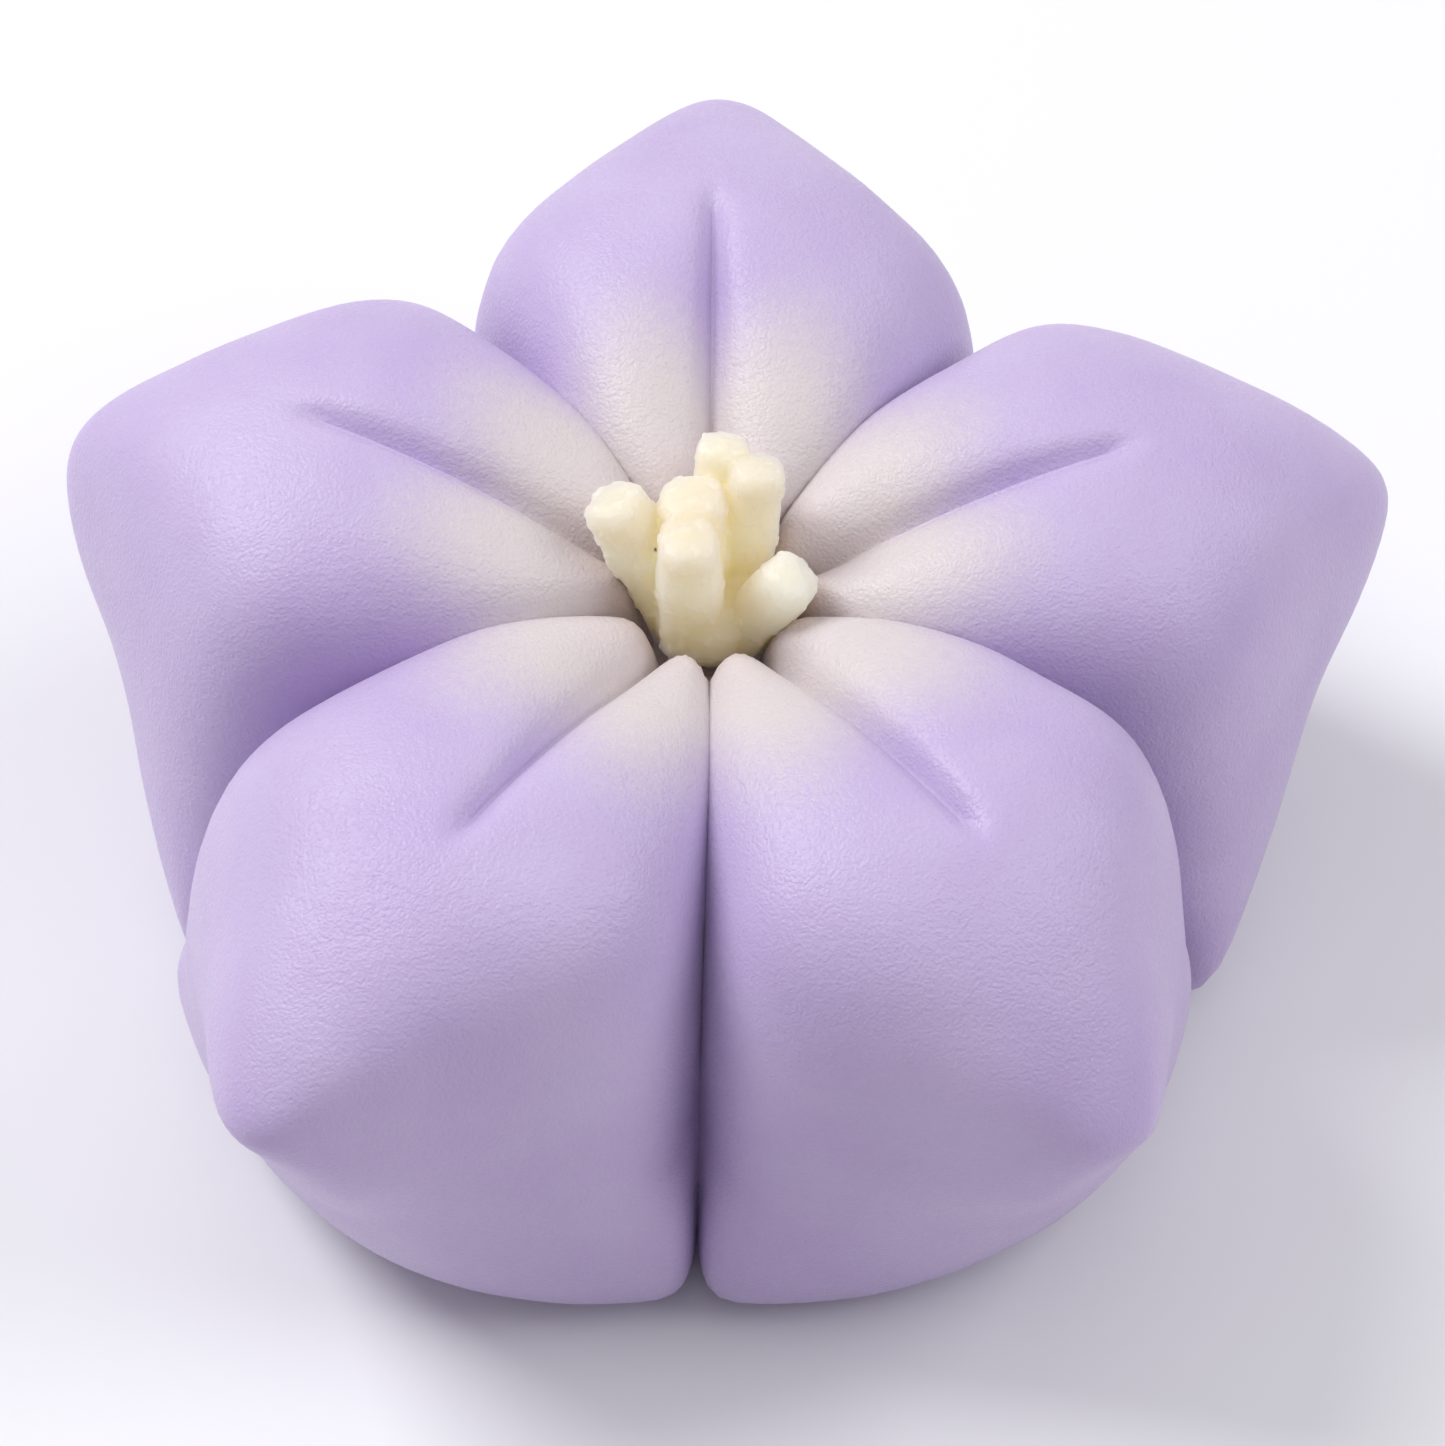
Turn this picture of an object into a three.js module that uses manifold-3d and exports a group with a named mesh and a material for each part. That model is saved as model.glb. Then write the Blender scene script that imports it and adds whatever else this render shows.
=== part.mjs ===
// Bellflower sweet of coloured bean paste: five pinched petals on one flat base round a tuft of stamens.
// Millimetres, +Z up. The flower axis is x = y = 0, the base lies on z = 0, and -Y is the front.

import * as THREE from "three";
import { mergeVertices } from "three/addons/utils/BufferGeometryUtils.js";
import Module from "manifold-3d";

const wasm = await Module();
wasm.setup();

const { clamp, degToRad, lerp, smoothstep } = THREE.MathUtils;
const UP = new THREE.Vector3(0, 0, 1);

// Each petal is a rounded solid round its heart, the inner point that its faces are measured from.
// In a petal's own frame +X points from the flower axis to the tip.
const HEART = new THREE.Vector3(13.5, 0, 10);
const BACK_INWARD = 26; // half-axes of the ellipsoid that rounds the back
const BACK_UPWARD = 30;
const BASE_TRIM = 0.3; // cut from the underside for a true flat

// The blends say how crisply faces meet: the higher the exponent, the smaller the rounding.
const UPPER_BLEND = 10.6;
const TIP_SPREAD = 0.05; // how far from the tip its own crispness reaches
const NOSE = new THREE.Vector3(3.5, 0, 20); // inner end of the back, beside the stamens
const NOSE_CRISPNESS = 10; // added to the blends round the nose
const NOSE_SPREAD = 0.12;
const BASE_CRISPNESS = 8; // added to the wall blend towards the base
const BASE_SLOPES = [0.1, 0.6]; // where that starts and ends, as the downward part of a unit ray

// Five pressed grooves part the petals. Each is a soft valley near the stamens and opens further out.
const GROOVE_START = 15; // flower axis to where the walls part
const GROOVE_OPENING = 1.2; // degrees between a groove's two walls in plan
const GROOVE_LEAN = 0.2; // degrees each groove wall leans away from the groove towards the top
const GROOVE_AZIMUTHS = [-15.6, 53.5, 124.5, 196.9, 270.6];
const SHOULDER_SWELL = 1; // how far the shoulders swell into each other across a groove
const SHOULDER_RADII = [2, 8, 18.5]; // flower axis to where the swell starts, is full and ends
const SHOULDER_SHARPNESS = 6; // how closely the swell keeps to the groove

// How a firmly pinched petal is formed.
const PINCHED = {
  upperLean: 5.7, // degrees the upper outer faces lean in towards their tops
  lowerTurn: 17.2, // degrees from the petal's direction to a lower outer face's normal
  lowerLean: 23.1, // degrees the lower outer faces lean out towards the tip
  lowerBlend: 9, // between the two lower outer faces
  backOutward: 22.2, // the other half-axes of the back's ellipsoid
  backSideways: 22,
  faceBlend: 8.3, // between the back and the outer faces
  wallBlend: 5.8, // along the grooves
  dentDepth: 0.35, // of the finger dents
};

// The petals, turned anticlockwise from the right. Hand shaping makes each a little different: reach,
// tipHeight and tipSide place the corner that the tip is rounded from, turn is the angle of its upper outer
// faces, foot is the distance of its lower faces at the base, crispness sharpens the tip and lip is how far
// it is drawn out. The two front petals are pressed softer and fuller than the others.
const PETALS = [
  {
    ...PINCHED, azimuth: 18.0, reach: 28.2, tipHeight: 17.1, tipSide: 0.5,
    crest: 22.8, turn: 47.4, foot: 21.5, crispness: 12, lip: 0.3,
  },
  {
    ...PINCHED, azimuth: 91.2, reach: 27.2, tipHeight: 16.9, tipSide: -0.3,
    crest: 23.3, turn: 47.4, foot: 21.3, crispness: 8, lip: 0,
  },
  {
    ...PINCHED, azimuth: 161.6, reach: 26.6, tipHeight: 16.4, tipSide: -0.1,
    crest: 23.2, turn: 44.4, foot: 21.3, crispness: 12, lip: 0.1,
  },
  {
    azimuth: 237.6, reach: 28.9, tipHeight: 16.2, tipSide: -1.3,
    crest: 22.8, turn: 48.6, foot: 22.4, crispness: 17.7, lip: 1,
    upperLean: 6.5, lowerTurn: 17.1, lowerLean: 20.5, lowerBlend: 6.7,
    backOutward: 23.1, backSideways: 25.9, faceBlend: 5.9, wallBlend: 4.5,
    dentDepth: 0.1,
  },
  {
    azimuth: 307.0, reach: 27.5, tipHeight: 15.4, tipSide: -0.3,
    crest: 22.8, turn: 47.7, foot: 22.0, crispness: 25.7, lip: 0.5,
    upperLean: 6.8, lowerTurn: 21.2, lowerLean: 19.5, lowerBlend: 5.1,
    backOutward: 19.0, backSideways: 25.4, faceBlend: 6.8, wallBlend: 4.9,
    dentDepth: 0.1,
  },
];
const LIP_RADIUS = 2.4;

// One crease runs from the stamens up the back of each petal and fades out before the tip.
const CREASE_DEPTH = 1.9;
const CREASE_END = 16.8; // flower axis to the crease's outer end
const CREASE_FADE = 12; // length over which it comes to full depth
const CREASE_FALL = 0.8; // below 1, the depth holds up towards the outer end
const CREASE_TAIL = 0.15; // share of the fade in which the outer end closes
const CREASE_WIDTH = 1.35; // distance over which its shoulders flatten, where it is widest
const CREASE_END_WIDTH = 0.45;
const CREASE_WIDEST = 7; // flower axis to where it is widest
const CREASE_NARROWED = 16; // flower axis to where it is narrow again
const CREASE_CORE = 0.08; // rounding of its bottom
const TOP_SLOPES = [-0.1, 0.3]; // the upward part of a unit ray from which the back is pressed, and fully

// Fingertips pressed a shallow dent on each side under the tip.
const DENT = new THREE.Vector3(24, 5, 9);
const DENT_RADIUS = 4;

// The backs of the petals turn down into a pit that holds the stamens.
const PIT_RADIUS = 3.4;
const PIT_NOTCH = 0.9; // how much further out the pit reaches in the grooves and creases
const PIT_DEPTH = 4.5;
const PIT_EASE = 2.2;

// The middle of the paste closes the grooves, so that all five petals are one body.
const CORE_RADII = [11.5, 11.5, 10.5, 8.5, 6, 2.8, 2.4];
const CORE_HEIGHTS = [0, 9, 13, 15.5, 16.8, 17, 16];
const CORE_SIDES = 40;

// The pit is cleared to this outline, and the tuft's root sits in it with a gap of about 0.3.
const CLEAR_RADII = [1.3, 2.1, 2.55, 2.6, 3.6];
const CLEAR_HEIGHTS = [15.8, 16.6, 17.7, 19, 24];
const ROOT_RADII = [1.1, 1.8, 2.25, 2.25, 1.6];
const ROOT_HEIGHTS = [16.1, 16.9, 18, 19, 19.9];
const PIT_SIDES = 20;

// Short thick strands pressed through a coarse sieve, splayed from one root.
const STRANDS = [
  { foot: [-0.9, -0.1, 17.5], head: [-3.7, 0.9, 23.3], radius: 1.18 },
  { foot: [-0.6, -0.9, 17.5], head: [-0.85, -0.75, 23.3], radius: 1.24 },
  { foot: [-0.3, 0.5, 17.5], head: [-0.78, 1.25, 23.3], radius: 1.24 },
  { foot: [0.3, 0.9, 17.5], head: [0.35, 3.7, 23.4], radius: 1.09 },
  { foot: [0.9, 0.6, 17.5], head: [1.65, 2.4, 23.6], radius: 1.1 },
  { foot: [1.05, -0.8, 17.8], head: [3.1, -1, 21.6], radius: 1.12 },
];
const STRAND_SIDES = 12;
const STRAND_RINGS = 6;
const STRAND_END = 0.55; // length of a strand's rounded end
const STRAND_TIP = 0.68; // radius and length left at its rim, as shares of the radius and of that end
const STRAND_RIM = 0.2;
const STRAND_SWELL = 0.05; // unevenness of a strand's girth
const SWELL_STEP = 2.4; // turn of that unevenness from ring to ring, and from strand to strand
const SWELL_PHASE = 1.7;

// Grid of each petal's surface, finer at the crease and at the edges.
const STEPS_ALONG = 16;
const STEPS_ACROSS = 14;
const STEPS_UP = 9;
const GRID_EASE = 0.7;
const GRID_INSET = 0.6; // keeps the grid's ends off the plan's corners

const GROUND_SIZE = 80; // block that trims the underside flat
const GROUND_DEPTH = 10;
const FULL_TURN = 360;

const PASTE = new THREE.MeshStandardMaterial({ color: 0xc9b6e3, roughness: 0.62, metalness: 0 });
const STAMEN_PASTE = new THREE.MeshStandardMaterial({ color: 0xf2e7bd, roughness: 0.6, metalness: 0 });

// A closed geometry as a solid, without the triangles that collapse at a lathe's poles.
function solidOf(geometry) {
  geometry.deleteAttribute("normal");
  geometry.deleteAttribute("uv");
  const merged = mergeVertices(geometry, 1e-5);
  const index = merged.index.array;
  const kept = [];
  for (let i = 0; i < index.length; i += 3) {
    const [a, b, c] = index.subarray(i, i + 3);
    if (a !== b && b !== c && c !== a) kept.push(a, b, c);
  }
  const vertProperties = merged.attributes.position.array;
  return new wasm.Manifold(new wasm.Mesh({ numProp: 3, vertProperties, triVerts: new Uint32Array(kept) }));
}

function geometryOf(solid) {
  const mesh = solid.getMesh();
  const geometry = new THREE.BufferGeometry();
  geometry.setAttribute("position", new THREE.BufferAttribute(mesh.vertProperties, 3));
  geometry.setIndex(new THREE.BufferAttribute(mesh.triVerts, 1));
  geometry.computeVertexNormals();
  return geometry;
}

// The pull of a flat face along a direction: the inverse of its distance from the heart.
function facePull(direction, turn, rise, through) {
  const flat = Math.cos(rise);
  const normal = new THREE.Vector3(flat * Math.cos(turn), flat * Math.sin(turn), Math.sin(rise));
  const distance = through.clone().sub(HEART).dot(normal);
  return Math.max(direction.dot(normal), 0) / distance;
}

// The pull of the ellipsoid that rounds the petal's back.
function backPull(direction, petal) {
  const along = direction.x > 0 ? petal.backOutward : BACK_INWARD;
  const axes = new THREE.Vector3(along, petal.backSideways, BACK_UPWARD);
  const ray = direction.clone().divide(axes);
  const offset = (HEART.z - petal.crest + BACK_UPWARD) / BACK_UPWARD;
  const a = ray.lengthSq();
  const b = offset * ray.z;
  return a / (Math.sqrt(b * b - a * (offset * offset - 1)) - b);
}

function blend(pulls, exponent) {
  return Math.pow(pulls.reduce((sum, pull) => sum + Math.pow(pull, exponent), 0), 1 / exponent);
}

// How nearly a direction from the heart points at a target: 1 where it does, fading with the spread.
function closeness(direction, target, spread) {
  const aim = target.clone().sub(HEART).normalize();
  return Math.exp(-(1 - direction.dot(aim)) / spread);
}

function tipOf(petal) {
  return new THREE.Vector3(petal.reach, petal.tipSide, petal.tipHeight);
}

// The petal's plain surface along a direction from its heart.
function surfacePoint(direction, petal) {
  const tip = tipOf(petal);
  const foot = new THREE.Vector3(petal.foot, 0, 0);
  const walls = [];
  const upper = [];
  const lower = [];
  for (const side of [-1, 1]) {
    const groove = side * (side > 0 ? petal.left : petal.right);
    const start = new THREE.Vector3(GROOVE_START, 0, HEART.z).applyAxisAngle(UP, degToRad(groove));
    const wallTurn = groove + side * (90 - GROOVE_OPENING / 2);
    walls.push(facePull(direction, degToRad(wallTurn), degToRad(GROOVE_LEAN), start));
    upper.push(facePull(direction, degToRad(side * petal.turn), degToRad(petal.upperLean), tip));
    lower.push(facePull(direction, degToRad(side * petal.lowerTurn), degToRad(-petal.lowerLean), foot));
  }
  const faces = [blend(upper, UPPER_BLEND), blend(lower, petal.lowerBlend), backPull(direction, petal)];
  faces.push(Math.max(-direction.z, 0) / (HEART.z + BASE_TRIM));
  const atTip = petal.crispness * closeness(direction, tip, TIP_SPREAD);
  const atNose = NOSE_CRISPNESS * closeness(direction, NOSE, NOSE_SPREAD);
  const atBase = BASE_CRISPNESS * smoothstep(-direction.z, ...BASE_SLOPES);
  const openFaces = blend(faces, petal.faceBlend + atTip + atNose);
  const reach = 1 / blend([...walls, openFaces], petal.wallBlend + atTip + atNose + atBase);
  return direction.clone().multiplyScalar(reach).add(HEART);
}

// Depth of the crease at a point of the petal's back.
function creaseDepth(x, y) {
  const widening = smoothstep(x, 0, CREASE_WIDEST) * (1 - smoothstep(x, CREASE_WIDEST, CREASE_NARROWED));
  const width = lerp(CREASE_END_WIDTH, CREASE_WIDTH, widening);
  const run = clamp((CREASE_END - x) / CREASE_FADE, 0, 1);
  const aside = Math.hypot(y, CREASE_CORE) - CREASE_CORE;
  return CREASE_DEPTH * run ** CREASE_FALL * smoothstep(run, 0, CREASE_TAIL) * Math.exp(-aside / width);
}

// Swells the shoulders, presses the crease, the pit and the finger dents, and draws out the lip.
function shape(point, direction, petal) {
  const side = Math.sign(point.y);
  const half = degToRad(side > 0 ? petal.left : petal.right);
  const share = Math.min(Math.abs(Math.atan2(point.y, point.x)) / half, 1);
  const radius = Math.hypot(point.x, point.y);
  const [start, full, end] = SHOULDER_RADII;
  const swell = SHOULDER_SWELL * smoothstep(radius, start, full) * (1 - smoothstep(radius, full, end));
  point.y += side * swell * share ** SHOULDER_SHARPNESS;

  const notch = PIT_NOTCH * (1 - Math.sin(Math.PI * share));
  const pit = PIT_DEPTH * smoothstep(PIT_RADIUS + notch - Math.hypot(point.x, point.y), 0, PIT_EASE);
  point.z -= (creaseDepth(point.x, point.y) + pit) * smoothstep(direction.z, ...TOP_SLOPES);

  for (const dentSide of [-1, 1]) {
    const dent = new THREE.Vector3(DENT.x, dentSide * DENT.y, DENT.z);
    const press = petal.dentDepth * Math.exp(-point.distanceToSquared(dent) / DENT_RADIUS ** 2);
    point.add(HEART.clone().sub(point).setLength(press));
  }
  const drawn = petal.lip * Math.exp(-point.distanceToSquared(tipOf(petal)) / LIP_RADIUS ** 2);
  const outward = point.clone().sub(HEART).setZ(0);
  return point.addScaledVector(outward, drawn / Math.max(outward.length(), 1));
}

// Spreads even steps of -1 to 1 so that they gather at the middle and at both ends.
function gather(step) {
  const size = Math.abs(step);
  return Math.sign(step) * lerp(size, smoothstep(size, 0, 1), GRID_EASE);
}

// A petal from a box whose grid first takes the petal's plan, then moves out or in to its surface.
function petalGeometry(petal) {
  const geometry = new THREE.BoxGeometry(2, 2, 2, STEPS_ALONG, STEPS_ACROSS, STEPS_UP);
  const position = geometry.attributes.position;
  for (let i = 0; i < position.count; i += 1) {
    const step = new THREE.Vector3().fromBufferAttribute(position, i);
    const x = lerp(GRID_INSET, petal.reach - GRID_INSET, (gather(step.x) + 1) / 2);
    const half = degToRad(step.y > 0 ? petal.left : petal.right);
    const halfWidth = Math.min(x * Math.tan(half), (petal.reach - x) / Math.tan(degToRad(petal.turn)));
    const z = lerp(0, petal.crest, (gather(step.z) + 1) / 2);
    const direction = new THREE.Vector3(x, gather(step.y) * halfWidth, z).sub(HEART).normalize();
    const point = shape(surfacePoint(direction, petal), direction, petal);
    position.setXYZ(i, point.x, point.y, point.z);
  }
  return geometry.rotateZ(degToRad(petal.azimuth));
}

// Adds to each petal the angles to the grooves on its left and right.
function besideGrooves(petal, i) {
  const right = petal.azimuth - GROOVE_AZIMUTHS[i];
  const next = GROOVE_AZIMUTHS[(i + 1) % GROOVE_AZIMUTHS.length];
  const left = (next - petal.azimuth + FULL_TURN) % FULL_TURN;
  return { ...petal, left, right };
}

// A solid of revolution about the flower axis, closed on the axis at both ends.
function turned(radii, heights, sides) {
  const profile = radii.map((radius, i) => new THREE.Vector2(radius, heights[i]));
  const first = new THREE.Vector2(0, heights[0]);
  const last = new THREE.Vector2(0, heights[heights.length - 1]);
  return new THREE.LatheGeometry([first, ...profile, last], sides).rotateX(Math.PI / 2);
}

function flowerGeometry() {
  const core = solidOf(turned(CORE_RADII, CORE_HEIGHTS, CORE_SIDES));
  const petals = PETALS.map(besideGrooves).map(petalGeometry);
  const whole = petals.reduce((body, petal) => body.add(solidOf(petal)), core);
  const ground = new THREE.BoxGeometry(GROUND_SIZE, GROUND_SIZE, GROUND_DEPTH);
  ground.translate(0, 0, -GROUND_DEPTH / 2);
  const pit = solidOf(turned(CLEAR_RADII, CLEAR_HEIGHTS, PIT_SIDES));
  return geometryOf(whole.subtract(solidOf(ground)).subtract(pit));
}

// One strand along +Z from the origin, a little uneven in girth.
function strandGeometry(length, radius, phase) {
  const profile = [new THREE.Vector2(0, 0)];
  for (let i = 0; i <= STRAND_RINGS; i += 1) {
    const swell = 1 + STRAND_SWELL * Math.sin(SWELL_STEP * i + phase);
    profile.push(new THREE.Vector2(radius * swell, (i / STRAND_RINGS) * (length - STRAND_END)));
  }
  profile.push(new THREE.Vector2(radius * STRAND_TIP, length - STRAND_END * STRAND_RIM));
  profile.push(new THREE.Vector2(0, length));
  return new THREE.LatheGeometry(profile, STRAND_SIDES).rotateX(Math.PI / 2);
}

function stamensGeometry() {
  const root = solidOf(turned(ROOT_RADII, ROOT_HEIGHTS, PIT_SIDES));
  const tuft = STRANDS.reduce((body, strand, i) => {
    const foot = new THREE.Vector3(...strand.foot);
    const run = new THREE.Vector3(...strand.head).sub(foot);
    const turn = new THREE.Quaternion().setFromUnitVectors(UP, run.clone().normalize());
    const geometry = strandGeometry(run.length(), strand.radius, SWELL_PHASE * i).applyQuaternion(turn);
    return body.add(solidOf(geometry.translate(foot.x, foot.y, foot.z)));
  }, root);
  return geometryOf(tuft);
}

const flower = new THREE.Mesh(flowerGeometry(), PASTE);
flower.name = "flower";

const stamens = new THREE.Mesh(stamensGeometry(), STAMEN_PASTE);
stamens.name = "stamens";

const group = new THREE.Group();
group.name = "bellflower_sweet";
group.add(flower, stamens);

export default group;
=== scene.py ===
"""Bellflower sweet of coloured bean paste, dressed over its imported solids.

Five pinched petals of lilac paste open round a pit, where a tuft of pale yellow strands stands for the
stamens. Sizes are in millimetres in the classes below, and meshes are made in metres.
"""

import logging
import math
from dataclasses import dataclass, field
from enum import Enum
from typing import Callable, Iterable, Sequence

import bmesh
import bpy
import numpy as np
from mathutils import Matrix, Vector, noise


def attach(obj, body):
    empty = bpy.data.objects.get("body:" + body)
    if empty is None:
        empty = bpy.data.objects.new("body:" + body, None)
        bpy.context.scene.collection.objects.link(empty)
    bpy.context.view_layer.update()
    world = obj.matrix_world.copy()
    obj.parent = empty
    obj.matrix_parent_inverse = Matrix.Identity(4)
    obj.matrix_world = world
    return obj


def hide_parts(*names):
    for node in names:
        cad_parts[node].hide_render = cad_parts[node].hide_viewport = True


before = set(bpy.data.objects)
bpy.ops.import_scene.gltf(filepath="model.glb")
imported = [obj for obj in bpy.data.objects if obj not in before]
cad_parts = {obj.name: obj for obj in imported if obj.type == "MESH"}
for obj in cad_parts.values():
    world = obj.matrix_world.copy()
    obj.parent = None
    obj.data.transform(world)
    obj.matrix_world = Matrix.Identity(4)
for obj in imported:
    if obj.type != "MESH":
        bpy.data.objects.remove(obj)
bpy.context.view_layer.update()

MM = 0.001
PHOTO_WIDTH = 1445
PHOTO_HEIGHT = 1446
SENSOR_MM = 36.0

log = logging.getLogger("bellflower")


class Node(Enum):
    """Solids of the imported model."""

    FLOWER = "flower"
    STAMENS = "stamens"


class Slot(Enum):
    """Material slots of the record."""

    LILAC = "lilac_paste"
    YELLOW = "yellow_paste"


class Body(Enum):
    """Bodies that pieces ride on."""

    ROOT = "root"


def ease(value: np.ndarray | float, start: float, end: float) -> np.ndarray | float:
    """Smooth step from 0 at start to 1 at end.

    Args:
        value: Number or array to ease.
        start: Where the step begins.
        end: Where it is complete.

    Returns:
        The eased number or array, between 0 and 1.
    """
    t = np.clip((value - start) / (end - start), 0.0, 1.0)
    return t * t * (3.0 - 2.0 * t)


def gather(step: np.ndarray, amount: float) -> np.ndarray:
    """Moves even steps of -1 to 1 so that they gather at the middle and at both ends.

    Args:
        step: Even steps.
        amount: 0 leaves them even, and 1 gathers them fully.

    Returns:
        The gathered steps.
    """
    size = np.abs(step)
    return np.sign(step) * ((1.0 - amount) * size + amount * ease(size, 0.0, 1.0))


def blend(pulls: Iterable[np.ndarray], exponent: np.ndarray | float) -> np.ndarray:
    """Joins the pulls of several faces into one, rounder for a lower exponent.

    Args:
        pulls: One array for each face.
        exponent: Crispness of the edges between the faces.

    Returns:
        The joined pull for each ray.
    """
    return sum(pull**exponent for pull in pulls) ** (1.0 / exponent)


def points_of(mesh: bpy.types.Mesh) -> np.ndarray:
    """Reads the vertex positions of a mesh.

    Args:
        mesh: The mesh to read.

    Returns:
        One row for each vertex.
    """
    flat = np.empty(len(mesh.vertices) * 3)
    mesh.vertices.foreach_get("co", flat)
    return flat.reshape(-1, 3)


def set_points(mesh: bpy.types.Mesh, points: np.ndarray) -> None:
    """Moves the vertices of a mesh to these positions."""
    mesh.vertices.foreach_set("co", np.ascontiguousarray(points, float).ravel())
    mesh.update()


def normals_of(mesh: bpy.types.Mesh) -> np.ndarray:
    """Reads the vertex normals of a mesh.

    Args:
        mesh: The mesh to read.

    Returns:
        One row for each vertex.
    """
    flat = np.empty(len(mesh.vertices) * 3, np.float32)
    mesh.vertex_normals.foreach_get("vector", flat)
    return flat.reshape(-1, 3).astype(float)


def uneven(points: np.ndarray, grain: float, seed: float) -> np.ndarray:
    """Smooth random unevenness, about -1 to 1, at each point.

    Args:
        points: Positions in millimetres.
        grain: Size of one swell in millimetres.
        seed: Offset that picks another pattern.

    Returns:
        One number for each point.
    """
    shift = Vector((seed, -seed, 0.5 * seed))
    return np.array([noise.noise(Vector(p) + shift) for p in points / grain])


def new_object(name: str, mesh: bpy.types.Mesh) -> bpy.types.Object:
    """Links a new object to the scene.

    Args:
        name: Name of the object.
        mesh: The mesh that it holds.

    Returns:
        The new object.
    """
    made = bpy.data.objects.new(name, mesh)
    bpy.context.scene.collection.objects.link(made)
    return made


def from_bmesh(name: str, bm: bmesh.types.BMesh) -> bpy.types.Object:
    """Turns a bmesh into a linked object and frees it.

    Args:
        name: Name of the object and its mesh.
        bm: The bmesh that is used up.

    Returns:
        The new object.
    """
    mesh = bpy.data.meshes.new(name)
    bm.to_mesh(mesh)
    bm.free()
    return new_object(name, mesh)


def fine_box(cuts: int) -> bmesh.types.BMesh:
    """Makes a box from -1 to 1 whose six faces are even grids.

    Args:
        cuts: Number of cuts across each face.

    Returns:
        The box as a bmesh.
    """
    bm = bmesh.new()
    bmesh.ops.create_cube(bm, size=2.0)
    bmesh.ops.subdivide_edges(bm, edges=bm.edges[:], cuts=cuts, use_grid_fill=True)
    return bm


def turned(name: str, outline: Sequence[tuple[float, float]], steps: int) -> bpy.types.Object:
    """Spins an outline round the upright axis into a closed solid.

    Args:
        name: Name of the new object.
        outline: Radius and height of each point in millimetres, from the bottom up.
        steps: Number of steps in the full turn.

    Returns:
        The new object.
    """
    bm = bmesh.new()
    ends = [(0.0, outline[0][1]), *outline, (0.0, outline[-1][1])]
    verts = [bm.verts.new((radius * MM, 0.0, height * MM)) for radius, height in ends]
    edges = [bm.edges.new(pair) for pair in zip(verts, verts[1:])]
    full_turn = 2.0 * math.pi
    bmesh.ops.spin(
        bm, geom=verts + edges, cent=(0, 0, 0), axis=(0, 0, 1), angle=full_turn, steps=steps, use_merge=True
    )
    bmesh.ops.remove_doubles(bm, verts=bm.verts[:], dist=1e-3 * MM)
    bmesh.ops.recalc_face_normals(bm, faces=bm.faces[:])
    return from_bmesh(name, bm)


def apply_modifiers(obj: bpy.types.Object) -> None:
    """Replaces the object's mesh by its result and drops the modifiers.

    Args:
        obj: The object that is changed.
    """
    graph = bpy.context.evaluated_depsgraph_get()
    graph.update()
    result = bpy.data.meshes.new_from_object(obj.evaluated_get(graph), depsgraph=graph)
    obj.modifiers.clear()
    obj.data = result


def combine(base: bpy.types.Object, others: Sequence[bpy.types.Object], operation: str) -> None:
    """Joins other solids to a base solid, or cuts them from it, and removes them.

    Args:
        base: The solid that is changed.
        others: The solids that are used up.
        operation: "UNION" or "DIFFERENCE".
    """
    group = bpy.data.collections.new(base.name + "_" + operation.lower())
    bpy.context.scene.collection.children.link(group)
    for other in others:
        group.objects.link(other)
    modifier = base.modifiers.new(operation.title(), "BOOLEAN")
    modifier.operation = operation
    modifier.operand_type = "COLLECTION"
    modifier.collection = group
    modifier.solver = "MANIFOLD"
    apply_modifiers(base)
    for other in others:
        bpy.data.objects.remove(other)
    bpy.data.collections.remove(group)


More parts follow.
